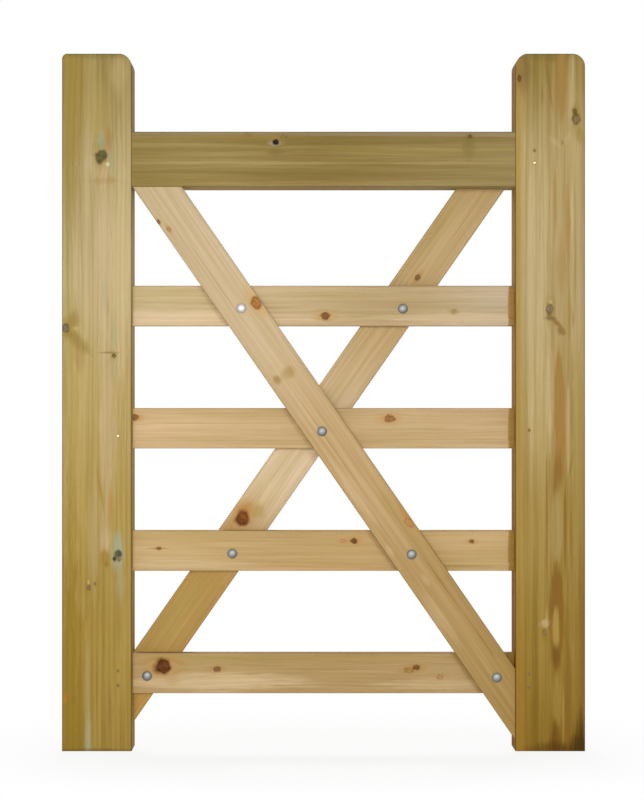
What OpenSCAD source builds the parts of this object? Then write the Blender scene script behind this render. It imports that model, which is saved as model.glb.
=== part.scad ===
// Timber five-bar gate leaf for a garden or field path.
// Two stiles carry a deep top rail and four slim lower rails on blind tenons.
// One brace lies on the front of the lower rails and one on their back.
// X runs from the hanging stile to the latch stile, Y from front to back, Z up.
// The origin is on the outer face of the hanging stile, at its foot, mid-thickness.

/* [Leaf] */
// Overall width, over both stiles
gate_w = 900; // [800:5:1200]
// Overall height, from the feet to the tops of the stiles
gate_h = 1200; // [1050:5:1400]

/* [Stiles] */
// Width of a stile, seen from the front
stile_w = 120; // [95:1:145]
// Thickness of a stile, front to back
stile_t = 70; // [64:1:90]
// Radius of the rounded shoulders on top of the stiles
shoulder_r = 23; // [8:1:40]
// Radius of the hanging stile's outer top corner
heel_corner_r = 10; // [5:1:40]
// Radius of the eased edges of the stiles and the top rail
frame_edge_r = 3; // [1:0.5:5]

/* [Top rail] */
// Height of the top rail
top_rail_h = 95; // [75:1:120]
// Set-back of the top rail's faces from the faces of the stiles
top_rail_setback = 2; // [0:0.5:4]
// Height of the stiles above the top rail
stile_horn = 134; // [60:1:180]

/* [Lower rails] */
// Height of a lower rail
rail_h = 70; // [55:1:90]
// Thickness of a lower rail
rail_t = 20; // [16:1:24]
// Clear height under the bottom rail
ground_gap = 96; // [40:1:140]
// Clear height between the top rail and the second rail
top_gap = 169; // [120:1:220]
// Radius of the eased edges of the rails and braces
board_edge_r = 2; // [0.5:0.5:4]

/* [Braces] */
// Width of a brace
brace_w = 70; // [50:1:90]
// Thickness of a brace
brace_t = 20; // [14:1:21]
// Gap from the hanging stile to the front brace, under the top rail
front_brace_gap = 1; // [0:1:40]
// Height of the front brace's lowest corner on the latch stile
front_brace_foot = 19; // [5:1:80]
// Gap from the latch stile to the back brace, under the top rail
back_brace_gap = 14; // [0:1:40]
// Height of the back brace's lowest corner on the hanging stile
back_brace_foot = 44; // [5:1:80]

/* [Joints] */
// Length of the rail tenons
tenon_l = 50; // [30:1:70]
// Shoulder above and below each lower rail's tenon
rail_shoulder_h = 10; // [4:0.5:15]
// Shoulder in front of and behind each lower rail's tenon
rail_shoulder_t = 4; // [2:0.5:5]
// Shoulder above and below the top rail's tenon
top_shoulder_h = 16; // [6:0.5:25]
// Thickness of the top rail's tenon
top_tenon_t = 22; // [16:1:30]
// Room round each tenon in its mortise, on every side
mortise_clearance = 0.3; // [0.1:0.1:1]

/* [Bolt holes] */
// Diameter of the coach bolts through the braces and rails
bolt_d = 6; // [5:1:10]
// Extra diameter of the bolt holes
bolt_clearance = 0.5; // [0.2:0.1:1.5]
// Depth of the bolts below the middle of their rail
bolt_drop = 5; // [0:1:15]
// Offset of the back brace's bolts from its middle, towards the latch stile
back_bolt_shift = 10; // [0:1:18]

/* [Hidden] */

$fn = 64;
// Overshoot of cutting shapes past the faces that they cut
cut = 1;
// Number of lower rails, counted down from the second rail
lower_rails = 4;

frame_colour = "#b39a5e";
top_rail_colour = "#95804a";
board_colour = "#cbae7c";

// The opening that the stiles and the top rail frame
inner_left = stile_w;
inner_right = gate_w - stile_w;
inner_w = inner_right - inner_left;
top_rail_top = gate_h - stile_horn;
top_rail_bottom = top_rail_top - top_rail_h;
top_rail_t = stile_t - 2 * top_rail_setback;

// Middle heights of the lower rails
second_rail_mid = top_rail_bottom - top_gap - rail_h / 2;
bottom_rail_mid = ground_gap + rail_h / 2;
rail_pitch = (second_rail_mid - bottom_rail_mid) / (lower_rails - 1);
function rail_mid(i) = second_rail_mid - i * rail_pitch;

// Tenon sections
rail_tenon_h = rail_h - 2 * rail_shoulder_h;
rail_tenon_t = rail_t - 2 * rail_shoulder_t;
top_tenon_h = top_rail_h - 2 * top_shoulder_h;
top_rail_mid = (top_rail_top + top_rail_bottom) / 2;

// Sideways run of a brace for each unit of its drop, from its lower edge
function brace_run(gap, foot) = (inner_w - gap) / (top_rail_bottom - foot);
// Distance of a brace's middle line from the stile at its top, at a height
function brace_mid(gap, foot, height) =
    let (run = brace_run(gap, foot))
    gap + (top_rail_bottom - height) * run + brace_w / 2 * sqrt(1 + run * run);

// Bolt places on each rail, and the rail where both braces share one bolt
function bolt_height(i) = rail_mid(i) - bolt_drop;
function front_mid(i) =
    inner_left + brace_mid(front_brace_gap, front_brace_foot, bolt_height(i));
function back_mid(i) =
    inner_right - brace_mid(back_brace_gap, back_brace_foot, bolt_height(i)) + back_bolt_shift;
function shared(i) = abs(front_mid(i) - back_mid(i)) < brace_w / 2;
function front_bolt(i) = shared(i) ? (front_mid(i) + back_mid(i)) / 2 : front_mid(i);
function back_bolt(i) = shared(i) ? front_bolt(i) : back_mid(i);

// Rectangle with its corner at the origin and all four corners rounded
module eased_section(w, h, r) {
    translate([r, 0]) square([w - 2 * r, h]);
    translate([0, r]) square([w, h - 2 * r]);
    for (x = [r, w - r], y = [r, h - r]) translate([x, y]) circle(r = r);
}

// Timber along X, from x = 0, centred on Z and in its thickness
module eased_bar(length, h, t, r) {
    translate([0, -t / 2, -h / 2])
        rotate([90, 0, 90])
            linear_extrude(length) eased_section(t, h, r);
}

// Front outline of a stile, with its two top corners rounded
module stile_outline(left_r, right_r) {
    square([stile_w - right_r, gate_h - left_r]);
    translate([left_r, 0]) square([stile_w - left_r - right_r, gate_h]);
    translate([left_r, 0]) square([stile_w - left_r, gate_h - right_r]);
    translate([left_r, gate_h - left_r]) circle(r = left_r);
    translate([stile_w - right_r, gate_h - right_r]) circle(r = right_r);
}

// Blind mortise cut from a stile's inner face, with the face at x = 0
module mortise(mid, tenon_h, tenon_t) {
    c = mortise_clearance;
    translate([-tenon_l - c, -tenon_t / 2 - c, mid - tenon_h / 2 - c])
        cube([tenon_l + c + cut, tenon_t + 2 * c, tenon_h + 2 * c]);
}

// Stile with its inner face towards +X at x = stile_w
module stile(left_r, right_r) {
    difference() {
        intersection() {
            translate([0, stile_t / 2, 0])
                rotate([90, 0, 0])
                    linear_extrude(stile_t) stile_outline(left_r, right_r);
            translate([0, -stile_t / 2, 0])
                linear_extrude(gate_h) eased_section(stile_w, stile_t, frame_edge_r);
            translate([0, 0, gate_h / 2 - frame_edge_r])
                eased_bar(stile_w, gate_h + 2 * frame_edge_r, stile_t, frame_edge_r);
        }
        translate([stile_w, 0, 0]) {
            mortise(top_rail_mid, top_tenon_h, top_tenon_t);
            for (i = [0 : lower_rails - 1]) mortise(rail_mid(i), rail_tenon_h, rail_tenon_t);
        }
    }
}

// Rail between the stiles, with a tenon at each end
module rail(mid, h, t, r, tenon_h, tenon_t) {
    translate([inner_left, 0, mid]) {
        eased_bar(inner_w, h, t, r);
        translate([-tenon_l, -tenon_t / 2, -tenon_h / 2])
            cube([inner_w + 2 * tenon_l, tenon_t, tenon_h]);
    }
}

// Bolt hole from front to back
module bolt_hole(x, z) {
    depth = stile_t + 2 * cut;
    translate([x, depth / 2, z])
        rotate([90, 0, 0]) cylinder(d = bolt_d + bolt_clearance, h = depth);
}

module lower_rail(i) {
    color(board_colour)
        difference() {
            rail(rail_mid(i), rail_h, rail_t, board_edge_r, rail_tenon_h, rail_tenon_t);
            bolt_hole(front_bolt(i), bolt_height(i));
            if (!shared(i)) bolt_hole(back_bolt(i), bolt_height(i));
        }
}

// Brace falling from the left under the top rail to the foot of the right stile.
// Its top is cut level to the top rail and its foot upright to the stile.
module brace(gap, foot) {
    drop = top_rail_bottom - foot;
    slope = atan2(drop, inner_w - gap);
    reach = norm([inner_w, drop]);
    intersection() {
        translate([inner_left, -brace_t, 0]) cube([inner_w, brace_t, top_rail_bottom]);
        translate([inner_left + gap, -brace_t / 2, top_rail_bottom])
            rotate([0, slope, 0])
                translate([-brace_w, 0, brace_w / 2])
                    eased_bar(reach + 2 * brace_w, brace_w, brace_t, board_edge_r);
    }
}

module hanging_stile() {
    color(frame_colour) stile(heel_corner_r, shoulder_r);
}

module latch_stile() {
    color(frame_colour)
        translate([gate_w, 0, 0]) mirror([1, 0, 0]) stile(shoulder_r, shoulder_r);
}

module top_rail() {
    color(top_rail_colour)
        rail(top_rail_mid, top_rail_h, top_rail_t, frame_edge_r, top_tenon_h, top_tenon_t);
}

module second_rail() { lower_rail(0); }

module third_rail() { lower_rail(1); }

module fourth_rail() { lower_rail(2); }

module bottom_rail() { lower_rail(3); }

module front_brace() {
    color(board_colour)
        difference() {
            translate([0, -rail_t / 2, 0]) brace(front_brace_gap, front_brace_foot);
            for (i = [0 : lower_rails - 1]) bolt_hole(front_bolt(i), bolt_height(i));
        }
}

module back_brace() {
    color(board_colour)
        difference() {
            translate([gate_w, rail_t / 2 + brace_t, 0])
                mirror([1, 0, 0]) brace(back_brace_gap, back_brace_foot);
            for (i = [0 : lower_rails - 1]) bolt_hole(back_bolt(i), bolt_height(i));
        }
}

hanging_stile();
latch_stile();
top_rail();
second_rail();
third_rail();
fourth_rail();
bottom_rail();
front_brace();
back_brace();
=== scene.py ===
"""Looks of a timber five-bar gate leaf: treated softwood, zinc coach bolts and tenon pins.

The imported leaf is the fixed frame. Its nine timbers keep their own meshes and get wood that
runs through the solid, with knots and stains where the leaf has them. The fixings are meshes.
Lengths are in metres, colours are linear, and places on a timber are X and Z on its front face.
"""

import math
from typing import NamedTuple

import bmesh
import bpy
from bpy.props import FloatProperty, FloatVectorProperty, IntProperty, PointerProperty
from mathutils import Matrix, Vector


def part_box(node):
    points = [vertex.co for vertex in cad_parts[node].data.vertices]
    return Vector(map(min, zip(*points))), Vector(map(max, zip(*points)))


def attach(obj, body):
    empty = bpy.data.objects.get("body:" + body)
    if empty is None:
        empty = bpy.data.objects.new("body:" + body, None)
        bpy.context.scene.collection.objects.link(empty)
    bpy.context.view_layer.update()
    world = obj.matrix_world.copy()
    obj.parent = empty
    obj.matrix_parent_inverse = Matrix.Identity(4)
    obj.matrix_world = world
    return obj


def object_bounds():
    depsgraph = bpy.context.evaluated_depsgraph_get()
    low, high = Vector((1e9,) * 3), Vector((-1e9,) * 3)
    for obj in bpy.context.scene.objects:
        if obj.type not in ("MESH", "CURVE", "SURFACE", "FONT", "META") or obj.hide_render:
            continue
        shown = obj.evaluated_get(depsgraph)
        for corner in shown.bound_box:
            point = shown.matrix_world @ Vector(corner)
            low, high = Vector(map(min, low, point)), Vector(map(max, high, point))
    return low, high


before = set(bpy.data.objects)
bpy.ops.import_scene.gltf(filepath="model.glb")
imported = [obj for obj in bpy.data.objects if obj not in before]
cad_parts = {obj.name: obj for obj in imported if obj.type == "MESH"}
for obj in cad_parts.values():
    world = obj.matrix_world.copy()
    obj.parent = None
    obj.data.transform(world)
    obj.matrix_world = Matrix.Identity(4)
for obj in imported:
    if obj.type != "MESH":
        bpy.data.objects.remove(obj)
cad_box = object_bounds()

bl_info = {
    "name": "Timber Gate Dresser",
    "version": (1, 0, 0),
    "blender": (4, 5, 0),
    "location": "3D View > Sidebar > Gate",
    "description": "Gives a packed timber gate leaf its wood, bolts, pins and studio",
    "category": "Object",
}

BODY = "root"
# How much lighter a knot's pale parts are, the tint of its rim, and its rise through the timber
KNOT_GLOW = 1.9
KNOT_RIM = (0.4, 0.28, 0.18)
KNOT_LEAN = 0.3
# How strongly a knot's halo and rim show
HALO_SHARE = 0.75
RIM_SHARE = 0.55
# How strongly broad streaks, narrow bands and flecks darken the wood
STREAK_SHARE = 0.36
BAND_SHARE = 0.4
FLECK_SHARE = 0.3
# How far the grain frays a stain's edge, and how deep a stain goes, as a share of the thickness
STAIN_FRAY = 1.2
STAIN_DEPTH = 0.6

AXES = ((1.0, 0.0, 0.0), (0.0, 1.0, 0.0), (0.0, 0.0, 1.0))

# Places of a Mix node's colour sockets
MIX_FACTOR, MIX_FIRST, MIX_SECOND, MIX_COLOUR = 0, 6, 7, 2

# Knot colours, and the tints that a knot gives to the wood round it
RED_BROWN = (0.17, 0.055, 0.016)
ORANGE_BROWN = (0.36, 0.16, 0.05)
DARK_BROWN = (0.1, 0.048, 0.018)
OLIVE_BROWN = (0.2, 0.125, 0.045)
BLACK = (0.012, 0.011, 0.009)
AMBER_HALO = (0.98, 0.78, 0.53)
OLIVE_HALO = (0.8, 0.76, 0.52)
PALE_HALO = (1.25, 1.3, 1.6)

# Stain colours
COPPER_GREEN = (0.36, 0.4, 0.26)
PALE_GREEN = (0.4, 0.37, 0.2)
OLIVE_GOLD = (0.42, 0.31, 0.09)
GOLD_BROWN = (0.36, 0.22, 0.05)
ORANGE = (0.46, 0.24, 0.05)
BEIGE_PINK = (0.62, 0.47, 0.28)
WARM_BEIGE = (0.61, 0.48, 0.255)
# Joint brown also paints the shadow that the latch stile and the front brace cast on the lower rails
JOINT_DIRT_AND_SHADOW = (0.36, 0.21, 0.045)
DEEP_GOLD = (0.33, 0.228, 0.052)
FOOT_GOLD = (0.295, 0.184, 0.026)
PALE_TAN = (0.78, 0.6, 0.38)
PALE_LINE = (0.58, 0.46, 0.25)
DARK_FOOT = (0.075, 0.04, 0.005)
DARK_LINE = (0.26, 0.15, 0.04)
LEG_BROWN = (0.41, 0.27, 0.095)
FIGURE_BROWN = (0.37, 0.228, 0.062)
FIGURE_DARK = (0.265, 0.142, 0.028)
TONGUE_OLIVE = (0.42, 0.305, 0.078)
GOLD_EDGE = (0.42, 0.27, 0.06)
AMBER_FOOT = (0.33, 0.186, 0.025)
DARK_OLIVE = (0.2, 0.145, 0.04)
PALE_OLIVE = (0.45, 0.35, 0.15)
SLATE = (0.27, 0.215, 0.13)
FOOT_BROWN = (0.2, 0.095, 0.015)
DEEP_ORANGE = (0.43, 0.19, 0.022)
SMEAR_OLIVE = (0.33, 0.235, 0.06)
MOSS_GREY = (0.08, 0.085, 0.045)
SMOKE = (0.2, 0.15, 0.07)
DARK_MOSS = (0.025, 0.028, 0.016)
RESIN_YELLOW = (0.75, 0.7, 0.42)
KNOT_GREY = (0.33, 0.28, 0.2)

# Zinc colours: the dull patches and painted shade on bolts, the pins, and the tint of single crystals
CLEAN_DIRT_AND_SHADE = (0.42, 0.415, 0.42)
WEATHERED_DIRT_AND_SHADE = (0.13, 0.125, 0.115)
BRIGHT_PIN = (0.7, 0.6, 0.36)
DULL_PIN = (0.28, 0.2, 0.075)
CRYSTAL_TINT = (0.8, 0.84, 0.9)


class Knot(NamedTuple):
    """A knot: its middle on the front face, its radius and colours, and how strongly and deep it shows."""

    x: float
    z: float
    radius: float
    core: tuple = ORANGE_BROWN
    halo: tuple = AMBER_HALO
    strength: float = 0.9
    stretch: float = 1.2
    depth: float = 1.0


class Stain(NamedTuple):
    """A soft streak along the grain: its middle on the front face, its half sizes and its colour."""

    x: float
    z: float
    half_length: float
    half_width: float
    colour: tuple
    strength: float = 0.5
    slant: float = 0.0
    softness: float = 0.9
    bluntness: float = 1.5

    def axes(self, thickness):
        """Its axes along, through and across a timber, each divided by the stain's half size."""
        lean = math.radians(self.slant)
        along = Vector((math.cos(lean), 0.0, math.sin(lean)))
        across = Vector((-math.sin(lean), 0.0, math.cos(lean)))
        return {
            "Along": along / self.half_length,
            "Through": Vector((0.0, 1.0, 0.0)) / max(STAIN_DEPTH * thickness, self.half_width),
            "Across": across / self.half_width,
        }


class Timber(NamedTuple):
    """One timber's wood: where its pith lies, how its rings look and what marks it has.

    The tones follow each other along the grain. Edges is how strongly the rounded edges take painted
    shade, and sides is the painted shade of the narrow sides; where it is above one it paints light on
    them instead.
    """

    node: str
    pith_depth: float
    pith_across: float
    ring_gap: float
    ring_wander: float
    ring_contrast: float
    latewood: tuple
    tones: tuple
    seed: float
    knots: tuple = ()
    stains: tuple = ()
    fray: float = 0.0012
    streaks: float = 1.0
    # How strongly the rounded edges take painted shade, and the painted shade of the narrow sides
    edges: float = 0.4
    sides: tuple = (0.84, 0.83, 0.82)


class Board(NamedTuple):
    """A timber's own axes: the grain's turn about Y, and the middle, length and thickness."""

    centre: Vector
    turn: float
    length: float
    thickness: float

    def place(self, x, z):
        """A place on the front face, along the grain, through the timber and across it."""
        right = x - self.centre.x
        up = z - self.centre.z
        along = right * math.cos(self.turn) - up * math.sin(self.turn)
        across = right * math.sin(self.turn) + up * math.cos(self.turn)
        return (along, -self.thickness / 2, across)


HANGING_STILE = Timber(
    node="hanging_stile",
    pith_depth=0.05,
    pith_across=0.13,
    ring_gap=0.0075,
    ring_wander=0.028,
    ring_contrast=0.4,
    latewood=(0.8, 0.74, 0.58),
    tones=(
        (0.425, 0.29, 0.072),
        (0.462, 0.324, 0.088),
        (0.505, 0.364, 0.119),
        (0.54, 0.403, 0.164),
        (0.58, 0.462, 0.253),
        (0.515, 0.41, 0.21),
        (0.42, 0.317, 0.126),
    ),
    seed=1.3,
    streaks=1.2,
    # Strong painted shade on the rounded edges and narrow sides
    edges=1.0,
    sides=(0.95, 0.9, 0.85),
    knots=(
        Knot(0.067, 1.023, 0.0092, (0.08, 0.072, 0.024), OLIVE_HALO, 0.95, 1.25),
        Knot(0.006, 0.727, 0.0066, (0.125, 0.096, 0.058), OLIVE_HALO, 0.85, 1.1, 0.02),
        Knot(0.0895, 0.6805, 0.0036, (0.085, 0.07, 0.035), OLIVE_HALO, 0.85, 1.0),
        Knot(0.046, 0.281, 0.003, (0.14, 0.085, 0.045), OLIVE_HALO, 0.75, 1.4),
        Knot(0.057, 0.288, 0.002, (0.12, 0.09, 0.04), OLIVE_HALO, 0.6, 1.4),
    ),
    stains=(
        Stain(0.1, 0.83, 0.3, 0.031, WARM_BEIGE, 0.62),
        Stain(0.098, 1.165, 0.06, 0.02, WARM_BEIGE, 0.3),
        Stain(0.06, 1.095, 0.08, 0.035, OLIVE_GOLD, 0.45),
        Stain(0.012, 1.14, 0.34, 0.04, DEEP_GOLD, 0.82),
        Stain(0.016, 0.72, 0.1, 0.03, OLIVE_GOLD, 0.5),
        Stain(0.02, 0.52, 0.3, 0.016, OLIVE_GOLD, 0.5),
        Stain(0.014, 0.0, 0.62, 0.042, FOOT_GOLD, 0.95),
        Stain(0.074, 0.86, 0.22, 0.028, BEIGE_PINK, 0.55),
        Stain(0.0785, 0.55, 0.25, 0.02, BEIGE_PINK, 0.48),
        Stain(0.056, 0.38, 0.14, 0.02, PALE_LINE, 0.25),
        Stain(0.076, 0.362, 0.036, 0.016, BEIGE_PINK, 0.42, 0.0, 1.0),
        Stain(0.067, 1.01, 0.05, 0.032, BEIGE_PINK, 0.4),
        Stain(0.0675, 1.047, 0.03, 0.0098, COPPER_GREEN, 0.75, 0.0, 1.0),
        Stain(0.086, 1.01, 0.03, 0.014, PALE_GREEN, 0.6),
        Stain(0.0785, 1.0095, 0.005, 0.0055, RESIN_YELLOW, 0.85),
        Stain(0.082, 1.058, 0.022, 0.01, GOLD_BROWN, 0.5),
        Stain(0.07, 0.981, 0.0075, 0.042, LEG_BROWN, 0.4),
        Stain(0.062, 0.98, 0.012, 0.009, LEG_BROWN, 0.5),
        Stain(0.084, 0.983, 0.01, 0.012, LEG_BROWN, 0.5),
        Stain(0.0195, 0.741, 0.026, 0.0165, SMEAR_OLIVE, 0.85, -8.0, 1.0),
        Stain(0.029, 0.7035, 0.036, 0.017, SMEAR_OLIVE, 0.85, 44.0, 1.0, 2.2),
        Stain(0.019, 0.7145, 0.016, 0.009, SMEAR_OLIVE, 0.6, 44.0),
        Stain(0.03, 0.676, 0.04, 0.014, GOLD_BROWN, 0.4),
        Stain(0.0235, 0.7275, 0.004, 0.01, PALE_LINE, 0.35),
        Stain(0.081, 0.6855, 0.0026, 0.024, DARK_LINE, 0.7),
        Stain(0.089, 0.716, 0.05, 0.0065, PALE_GREEN, 0.6),
        Stain(0.09, 0.655, 0.04, 0.006, PALE_GREEN, 0.55),
        Stain(0.074, 0.79, 0.05, 0.007, PALE_GREEN, 0.45),
        Stain(0.084, 0.424, 0.05, 0.005, ORANGE, 0.7),
        Stain(0.066, 0.45, 0.05, 0.004, GOLD_BROWN, 0.7, 10.0),
        Stain(0.096, 0.343, 0.05, 0.0165, COPPER_GREEN, 0.8, 0.0, 1.0, 2.0),
        Stain(0.0968, 0.339, 0.0095, 0.0098, MOSS_GREY, 1.0, 0.0, 0.7, 2.0),
        Stain(0.0912, 0.331, 0.007, 0.0065, DARK_MOSS, 1.0),
        Stain(0.1, 0.331, 0.006, 0.007, SLATE, 0.8),
        Stain(0.0735, 0.331, 0.02, 0.013, JOINT_DIRT_AND_SHADOW, 0.85, 0.0, 0.9, 2.0),
        Stain(0.077, 0.321, 0.008, 0.006, DARK_LINE, 0.6),
        Stain(0.1, 0.288, 0.045, 0.012, PALE_GREEN, 0.5, 0.0, 1.0),
        Stain(0.046, 0.2905, 0.006, 0.0035, PALE_TAN, 0.45),
        Stain(0.041, 0.206, 0.024, 0.0045, ORANGE, 0.65),
        Stain(0.071, 0.224, 0.04, 0.007, GOLD_BROWN, 0.6),
        Stain(0.006, 0.0905, 0.012, 0.0075, DEEP_ORANGE, 0.85, 0.0, 1.0, 2.0),
        Stain(0.043, 0.1, 0.14, 0.007, PALE_OLIVE, 0.5),
        Stain(0.0455, 0.0, 0.11, 0.009, PALE_GREEN, 0.85),
        Stain(0.06, 0.114, 0.08, 0.0035, DARK_LINE, 0.5),
        Stain(0.082, 0.074, 0.07, 0.0035, DARK_LINE, 0.5),
        Stain(0.098, 0.22, 0.1, 0.0045, DARK_LINE, 0.3),
        Stain(0.06, 0.0, 0.007, 0.14, DARK_FOOT, 0.45),
        Stain(0.06, 1.2, 0.013, 0.14, DARK_OLIVE, 0.5),
    ),
)

LATCH_STILE = Timber(
    node="latch_stile",
    pith_depth=0.06,
    pith_across=-0.016,
    ring_gap=0.0075,
    ring_wander=0.004,
    ring_contrast=0.5,
    latewood=(0.78, 0.68, 0.5),
    tones=(
        (0.32, 0.195, 0.033),
        (0.375, 0.248, 0.057),
        (0.44, 0.31, 0.1),
        (0.535, 0.405, 0.183),
        (0.56, 0.44, 0.238),
        (0.575, 0.455, 0.245),
        (0.385, 0.28, 0.095),
    ),
    seed=4.1,
    fray=0.003,
    streaks=1.2,
    # Strong painted shade on the rounded edges, and warm painted shade on the narrow sides
    edges=1.0,
    sides=(0.92, 0.72, 0.42),
    knots=(
        Knot(0.884, 1.087, 0.0066, (0.125, 0.082, 0.04), OLIVE_HALO, 0.8, 1.4),
        Knot(0.882, 1.1005, 0.0034, (0.09, 0.06, 0.018), OLIVE_HALO, 0.85, 1.3),
        Knot(0.8388, 0.7602, 0.006, (0.13, 0.095, 0.065), OLIVE_HALO, 0.85, 1.45),
        Knot(0.83, 0.204, 0.003, (0.15, 0.115, 0.06), OLIVE_HALO, 0.6, 1.6),
        Knot(0.861, 1.0465, 0.0022, OLIVE_BROWN, OLIVE_HALO, 0.5, 1.2),
        Knot(0.7868, 1.157, 0.003, (0.085, 0.045, 0.012), AMBER_HALO, 0.85, 1.9, 0.02),
    ),
    stains=(
        Stain(0.783, 0.6, 1.6, 0.0145, GOLD_EDGE, 0.7),
        Stain(0.893, 0.6, 1.6, 0.021, FIGURE_DARK, 0.2),
        Stain(0.84, 1.2, 0.02, 0.14, DARK_OLIVE, 0.55),
        Stain(0.794, 1.17, 0.06, 0.022, OLIVE_BROWN, 0.5),
        Stain(0.89, 0.12, 0.32, 0.019, FOOT_BROWN, 0.2),
        Stain(0.786, 0.04, 0.34, 0.018, AMBER_FOOT, 0.8),
        Stain(0.811, 0.79, 0.36, 0.028, BEIGE_PINK, 0.42),
        # Brown band under the top, the pale line beside it and the crossing below them
        Stain(0.8595, 1.16, 0.1, 0.0095, FIGURE_BROWN, 0.75, 0.0, 0.6, 2.5),
        Stain(0.836, 1.16, 0.08, 0.005, DARK_LINE, 0.5, 8.0),
        Stain(0.826, 1.13, 0.03, 0.003, DARK_LINE, 0.6),
        Stain(0.876, 1.145, 0.08, 0.0078, PALE_LINE, 0.4, 0.0, 0.8, 3.0),
        Stain(0.8915, 1.058, 0.022, 0.009, DEEP_GOLD, 0.75),
        Stain(0.848, 1.048, 0.018, 0.009, PALE_LINE, 0.42, 46.0),
        Stain(0.868, 1.0527, 0.018, 0.008, PALE_LINE, 0.35, -28.0),
        # Two brown lines that run down to the middle knot
        Stain(0.8485, 0.94, 0.095, 0.005, LEG_BROWN, 0.8),
        Stain(0.8353, 0.85, 0.08, 0.0026, LEG_BROWN, 0.65),
        Stain(0.8705, 0.905, 0.13, 0.006, LEG_BROWN, 0.85),
        Stain(0.8595, 0.835, 0.07, 0.013, LEG_BROWN, 0.55),
        Stain(0.842, 0.92, 0.12, 0.003, PALE_LINE, 0.6),
        Stain(0.8776, 0.92, 0.1, 0.0026, PALE_LINE, 0.5),
        Stain(0.8828, 0.83, 0.1, 0.0025, DARK_LINE, 0.4),
        # Middle knot, with the smear under it
        Stain(0.8405, 0.7725, 0.005, 0.005, PALE_LINE, 0.8),
        Stain(0.8395, 0.7475, 0.009, 0.009, SMOKE, 0.55),
        Stain(0.84, 0.7445, 0.005, 0.016, SMOKE, 0.6),
        Stain(0.851, 0.737, 0.019, 0.006, FIGURE_DARK, 0.7, 46.0, 0.9, 2.0),
        Stain(0.8592, 0.7225, 0.012, 0.009, DARK_LINE, 0.75, 54.0, 0.9, 2.0),
        Stain(0.8724, 0.751, 0.065, 0.0042, FIGURE_BROWN, 0.6),
        Stain(0.879, 0.742, 0.025, 0.0025, DARK_LINE, 0.4),
        # Broad brown band, darker and slanted at its lower end
        Stain(0.8395, 0.62, 0.13, 0.012, BEIGE_PINK, 0.5),
        Stain(0.8562, 0.57, 0.13, 0.0115, FIGURE_BROWN, 0.9, 0.8, 0.5, 3.5),
        Stain(0.852, 0.476, 0.055, 0.0118, FIGURE_DARK, 0.7, -5.0, 1.0, 2.2),
        Stain(0.8707, 0.553, 0.1, 0.0034, PALE_LINE, 0.6, 0.0, 0.6, 2.5),
        Stain(0.8775, 0.58, 0.14, 0.0028, DARK_LINE, 0.6),
        Stain(0.8765, 0.496, 0.05, 0.0026, DARK_LINE, 0.5, -12.0),
        Stain(0.885, 0.58, 0.15, 0.003, PALE_LINE, 0.3),
        # Straight lines from the band to the lower figure
        Stain(0.8338, 0.4, 0.13, 0.0027, FIGURE_DARK, 0.7, 0.0, 0.8, 3.0),
        Stain(0.8655, 0.388, 0.085, 0.003, FIGURE_DARK, 0.8, 0.0, 0.8, 3.0),
        Stain(0.877, 0.37, 0.1, 0.0024, FIGURE_DARK, 0.55),
        Stain(0.8712, 0.375, 0.07, 0.002, TONGUE_OLIVE, 0.5),
        Stain(0.851, 0.384, 0.075, 0.0135, PALE_OLIVE, 0.6, 0.0, 0.8, 3.0),
        Stain(0.793, 0.394, 0.012, 0.008, GOLD_BROWN, 0.6),
        Stain(0.887, 0.53, 0.19, 0.018, DEEP_GOLD, 0.55),
        # Lower figure: a brown eye with a paler tongue in it
        Stain(0.851, 0.2317, 0.106, 0.0145, FIGURE_DARK, 0.98, 0.0, 0.4, 2.2),
        Stain(0.8495, 0.212, 0.044, 0.009, TONGUE_OLIVE, 0.92, 0.0, 0.85, 2.5),
        Stain(0.8485, 0.162, 0.03, 0.0105, FOOT_BROWN, 0.7),
        Stain(0.852, 0.09, 0.055, 0.0135, TONGUE_OLIVE, 0.5, 0.0, 0.9, 3.0),
        Stain(0.8664, 0.268, 0.055, 0.003, TONGUE_OLIVE, 0.6),
        Stain(0.878, 0.26, 0.2, 0.003, DARK_LINE, 0.45),
        Stain(0.8405, 0.27, 0.1, 0.0026, DARK_LINE, 0.4),
        Stain(0.8305, 0.2195, 0.0095, 0.012, PALE_LINE, 0.6, 30.0, 1.0, 2.5),
        Stain(0.8335, 0.227, 0.03, 0.0035, PALE_LINE, 0.35),
        # Foot, darker towards the bottom
        Stain(0.8485, 0.004, 0.06, 0.0125, FOOT_BROWN, 0.95, 0.0, 0.7),
        Stain(0.8625, 0.06, 0.075, 0.003, TONGUE_OLIVE, 0.65),
        Stain(0.892, 0.0, 0.085, 0.022, DARK_FOOT, 0.9),
        Stain(0.885, 0.0, 0.036, 0.03, DARK_FOOT, 0.8),
        Stain(0.845, 0.0, 0.024, 0.07, DARK_FOOT, 0.6),
        Stain(0.871, 0.09, 0.11, 0.006, FIGURE_DARK, 0.6, 0.0, 0.8, 2.5),
    ),
)

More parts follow.
